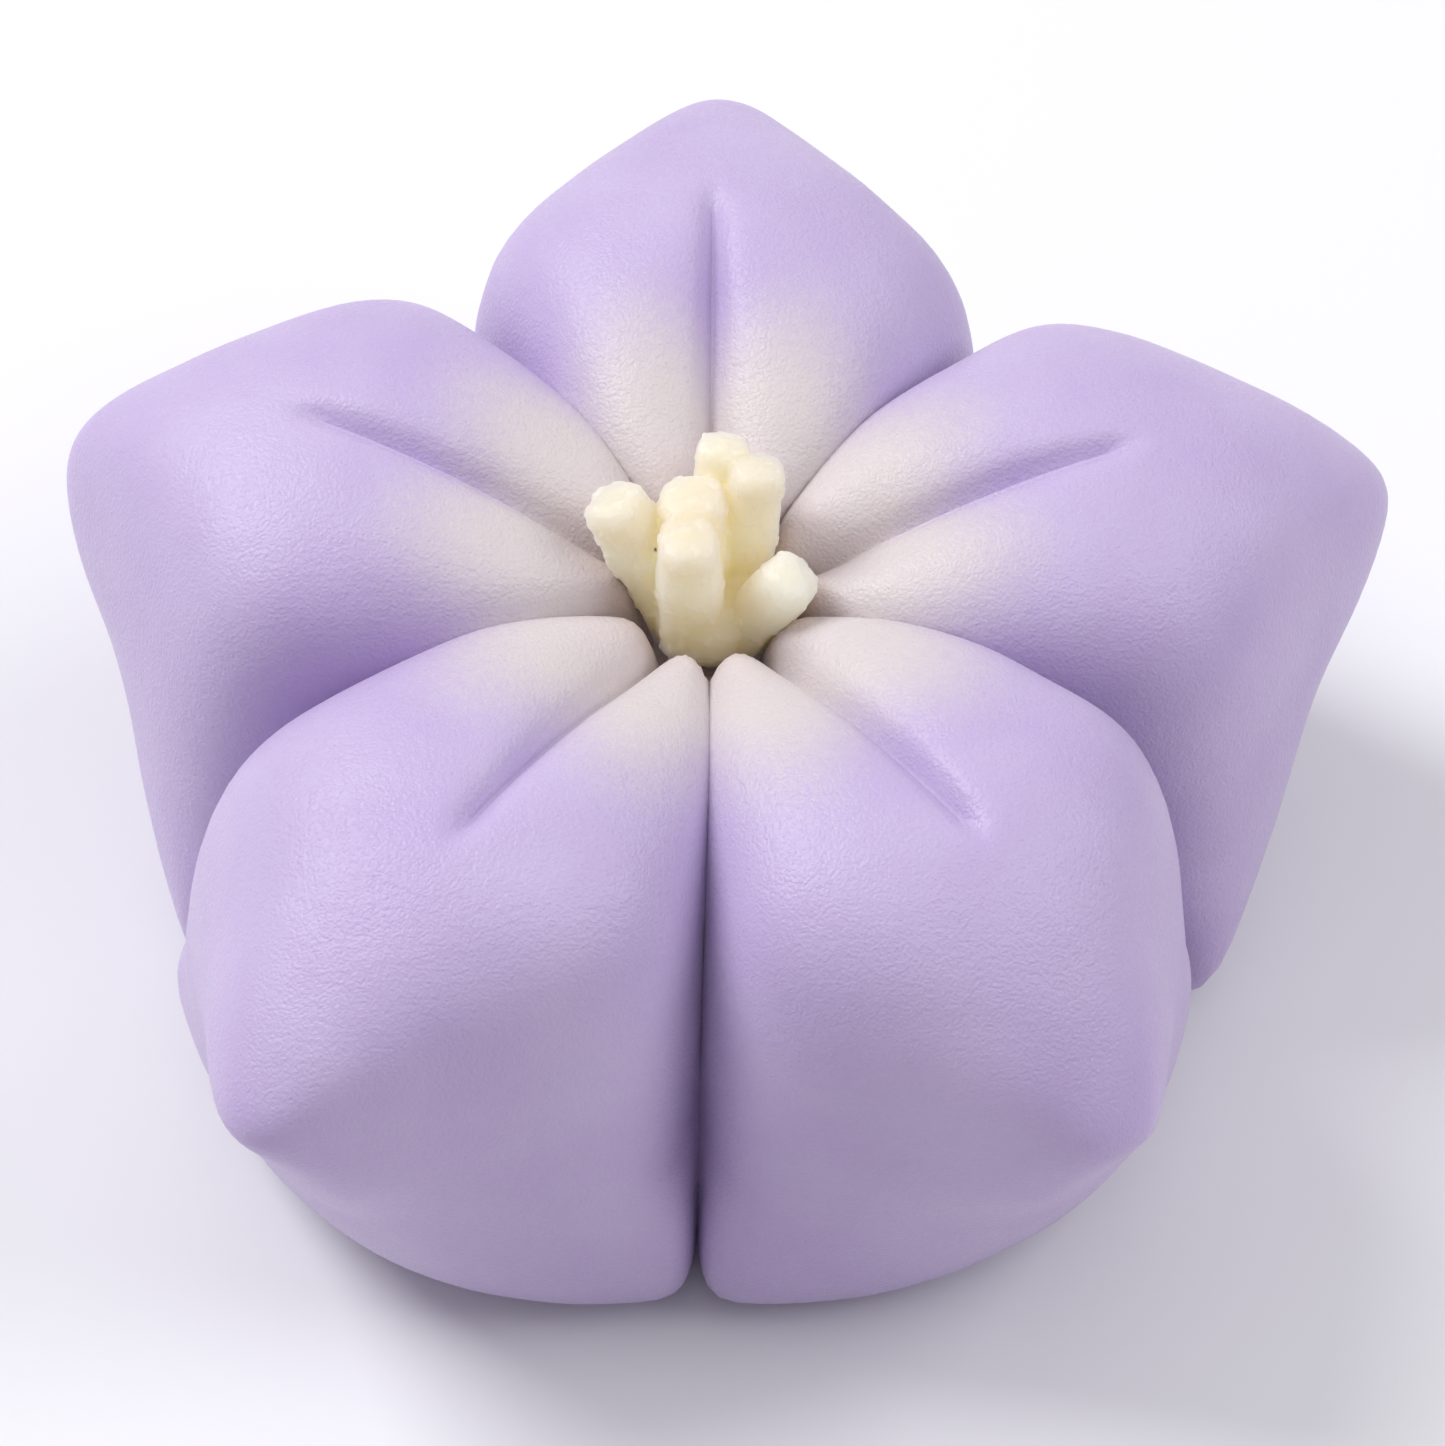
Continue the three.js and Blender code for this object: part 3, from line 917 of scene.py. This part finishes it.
@dataclass
class Stamens:
    """Tuft of six short strands splayed from one root."""

    strands: tuple[Strand, ...] = (
        Strand(foot=(-0.9, -0.1, 17.5), head=(-3.7, 0.9, 23.3), radius=1.18),
        Strand(foot=(-0.6, -0.9, 17.5), head=(-0.85, -0.75, 23.3), radius=1.24),
        Strand(foot=(-0.3, 0.5, 17.5), head=(-0.78, 1.25, 23.3), radius=1.24),
        Strand(foot=(0.3, 0.9, 17.5), head=(0.35, 3.7, 23.4), radius=1.09),
        Strand(foot=(0.9, 0.6, 17.5), head=(1.65, 2.4, 23.6), radius=1.1),
        Strand(foot=(1.05, -0.8, 17.8), head=(3.1, -1.0, 21.6), radius=1.12),
    )
    root_outline: tuple[tuple[float, float], ...] = (
        (1.1, 16.1), (1.8, 16.9), (2.25, 18.0), (2.25, 19.0), (1.6, 19.9),
    )
    end_round: float = 0.62
    end_shrink: float = 0.2
    end_swell: float = 0.16
    end_power: float = 2.5
    wobble: float = 0.03
    wobble_pace: float = 1.9
    wobble_shift: float = 1.7
    twist: float = 2.1
    squareness: float = 2.7
    cuts: int = 24
    root_steps: int = 48
    voxel: float = 0.07
    soften_rounds: int = 4
    broad: Unevenness = Unevenness(size=1.6, height=0.1, seed=5.0)
    middle: Unevenness = Unevenness(size=0.6, height=0.04, seed=2.0)
    fine: Unevenness = Unevenness(size=0.22, height=0.015, seed=7.0)
    shrinkage: float = 0.06
    burr_size: float = 0.4
    burr_height: float = 0.07
    burr_seed: float = 4.0
    burr_range: tuple[float, float] = (0.15, 0.45)
    sharp_over: float = 60.0
    finish: StamenPaste = field(default_factory=StamenPaste)

    def strand_object(self, index: int) -> bpy.types.Object:
        """Makes one strand as a closed solid with softly broken ends.

        Args:
            index: The strand's place in the tuft.

        Returns:
            The new object.
        """
        strand = self.strands[index]
        made = from_bmesh(f"strand_{index}", fine_box(self.cuts))
        step = points_of(made.data)
        flat = np.abs(step[:, :2]).max(1)
        length = float(np.linalg.norm(np.subtract(strand.head, strand.foot)))
        corner = (np.abs(step[:, :2]) ** self.squareness).sum(1) ** (1.0 / self.squareness)
        across = step[:, :2] / np.maximum(corner, 1e-6)[:, None] * flat[:, None]
        along = (step[:, 2] + 1.0) / 2.0 * length
        end = np.maximum(along - (length - self.end_round), 0.0) / self.end_round
        radius = strand.radius * (1.0 - self.end_shrink * end**self.end_power)
        radius *= 1.0 + self.wobble * np.sin(self.wobble_pace * along + self.wobble_shift * index)
        spin = self.twist * index
        across = across @ np.array([[math.cos(spin), math.sin(spin)], [-math.sin(spin), math.cos(spin)]])
        on_end = step[:, 2] >= step[:, 2].max() - 1e-6
        height = along + self.end_swell * (1.0 - flat**2) * on_end
        local = np.column_stack([across * radius[:, None], height])
        run = Vector(strand.head) - Vector(strand.foot)
        turn = np.array(run.to_track_quat("Z", "Y").to_matrix())
        set_points(made.data, (local @ turn.T + strand.foot) * MM)
        return made

    def roughen(self, mesh: bpy.types.Mesh) -> None:
        """Breaks the surface up as the sieve leaves it.

        Args:
            mesh: The tuft's mesh.
        """
        points = points_of(mesh)
        lift = sum(layer.lift(points / MM) for layer in (self.broad, self.middle, self.fine))
        burrs = ease(uneven(points / MM, self.burr_size, self.burr_seed), *self.burr_range)
        lift += self.burr_height * burrs - self.shrinkage
        set_points(mesh, points + normals_of(mesh) * (lift * MM)[:, None])

    def build(self) -> bpy.types.Object:
        """Makes the tuft, dresses it and stands it in for its solid.

        Returns:
            The finished piece.
        """
        made = turned("stamen_tuft", self.root_outline, self.root_steps)
        combine(made, [self.strand_object(index) for index in range(len(self.strands))], "UNION")
        remesh = made.modifiers.new("Remesh", "REMESH")
        remesh.mode = "VOXEL"
        remesh.voxel_size = self.voxel * MM
        soften = made.modifiers.new("Soften", "SMOOTH")
        soften.iterations = self.soften_rounds
        apply_modifiers(made)
        self.roughen(made.data)
        made.data.materials.clear()
        made.data.materials.append(self.finish.material())
        smooth(made, self.sharp_over)
        settle(made, Node.STAMENS)
        return made


def smooth(obj: bpy.types.Object, sharp_over: float) -> None:
    """Shades a piece smooth, but for edges sharper than an angle in degrees."""
    obj.data.shade_smooth()
    obj.data.set_sharp_from_angle(angle=math.radians(sharp_over))


def settle(piece: bpy.types.Object, node: Node) -> None:
    """Stands a finished piece in for its solid and puts it on the body.

    Args:
        piece: The finished piece.
        node: The solid that it replaces.
    """
    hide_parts(node.value)
    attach(piece, Body.ROOT.value)


@dataclass(frozen=True)
class Lamp:
    """One soft lamp that faces the middle of the floor, in degrees, millimetres and watts."""

    name: str
    azimuth: float
    elevation: float
    width: float
    height: float
    watts: float
    distance: float = 600.0

    def build(self) -> None:
        """Hangs the lamp in its place."""
        data = bpy.data.lights.new(self.name, "AREA")
        data.shape = "ELLIPSE"
        data.size = self.width * MM
        data.size_y = self.height * MM
        data.energy = self.watts
        lamp = bpy.data.objects.new(self.name, data)
        bpy.context.scene.collection.objects.link(lamp)
        turn, rise = math.radians(self.azimuth), math.radians(self.elevation)
        toward = Vector((math.cos(rise) * math.cos(turn), math.cos(rise) * math.sin(turn), math.sin(rise)))
        level = Vector((-math.sin(turn), math.cos(turn), 0.0))
        axes = Matrix((level, toward.cross(level), toward)).transposed().to_4x4()
        lamp.matrix_world = Matrix.Translation(toward * self.distance * MM) @ axes


@dataclass
class Studio:
    """Plain pale floor, soft light mostly from the back left, and the camera at the photograph's angle."""

    floor_half: float = 900.0
    floor_drop: float = 0.02
    lamps: tuple[Lamp, ...] = (
        Lamp("window", azimuth=157.0, elevation=48.5, width=220.0, height=400.0, watts=2.65),
        Lamp("left_fill", azimuth=190.0, elevation=32.0, width=450.0, height=450.0, watts=0.15),
        Lamp("right_fill", azimuth=0.0, elevation=45.0, width=450.0, height=450.0, watts=1.5),
        Lamp("overhead", azimuth=0.0, elevation=90.0, width=500.0, height=500.0, watts=0.4),
    )
    sky_colour: tuple[float, float, float] = (1.0, 0.98, 1.035)
    sky_strength: float = 0.345
    camera_elevation: float = 53.0
    camera_azimuth: float = 0.09
    camera_roll: float = 1.58
    camera_distance: float = 247.3
    camera_target: tuple[float, float, float] = (0.58, -0.62, 12.0)
    focal_pixels: float = 6590.8
    near_clip: float = 10.0
    floor_finish: PaleFloor = field(default_factory=PaleFloor)

    def floor(self) -> bpy.types.Object:
        """Lays the floor.

        Returns:
            The floor.
        """
        bm = bmesh.new()
        bmesh.ops.create_grid(bm, x_segments=2, y_segments=2, size=self.floor_half * MM)
        made = from_bmesh("floor", bm)
        made.location.z = -self.floor_drop * MM
        made.data.materials.append(self.floor_finish.material())
        return made

    def sky(self) -> None:
        """Even, nearly white light from all round."""
        world = bpy.data.worlds.new("soft_room")
        world.use_nodes = True
        background = world.node_tree.nodes["Background"]
        background.inputs["Color"].default_value = (*self.sky_colour, 1.0)
        background.inputs["Strength"].default_value = self.sky_strength
        bpy.context.scene.world = world

    def camera(self) -> None:
        """The camera that the photograph was taken from."""
        azimuth, rise = math.radians(self.camera_azimuth), math.radians(self.camera_elevation)
        back = Vector(
            (math.sin(azimuth) * math.cos(rise), -math.cos(azimuth) * math.cos(rise), math.sin(rise))
        )
        level = Vector((math.cos(azimuth), math.sin(azimuth), 0.0))
        roll = Matrix.Rotation(math.radians(self.camera_roll), 3, back)
        right = roll @ level
        up = back.cross(right)
        data = bpy.data.cameras.new("photo_camera")
        data.sensor_width = SENSOR_MM
        data.lens = self.focal_pixels / max(PHOTO_WIDTH, PHOTO_HEIGHT) * SENSOR_MM
        data.clip_start = self.near_clip * MM
        made = bpy.data.objects.new("photo_camera", data)
        bpy.context.scene.collection.objects.link(made)
        place = Vector(self.camera_target) + back * self.camera_distance
        axes = Matrix((right, up, back)).transposed().to_4x4()
        made.matrix_world = Matrix.Translation(place * MM) @ axes
        bpy.context.scene.camera = made

    def build(self) -> None:
        """Sets up the floor, the light and the camera."""
        bpy.context.scene.view_settings.view_transform = "Standard"
        self.floor()
        self.sky()
        for lamp in self.lamps:
            lamp.build()
        self.camera()


def main() -> None:
    """Builds the studio and every piece, and reports each."""
    logging.basicConfig(level=logging.INFO, format="%(name)s: %(message)s")
    Studio().build()
    builders: tuple[Callable[[], bpy.types.Object], ...] = (Flower().build, Stamens().build)
    for build in builders:
        piece = build()
        log.info("%s: %d faces", piece.name, len(piece.data.polygons))


if __name__ == "__main__":
    main()
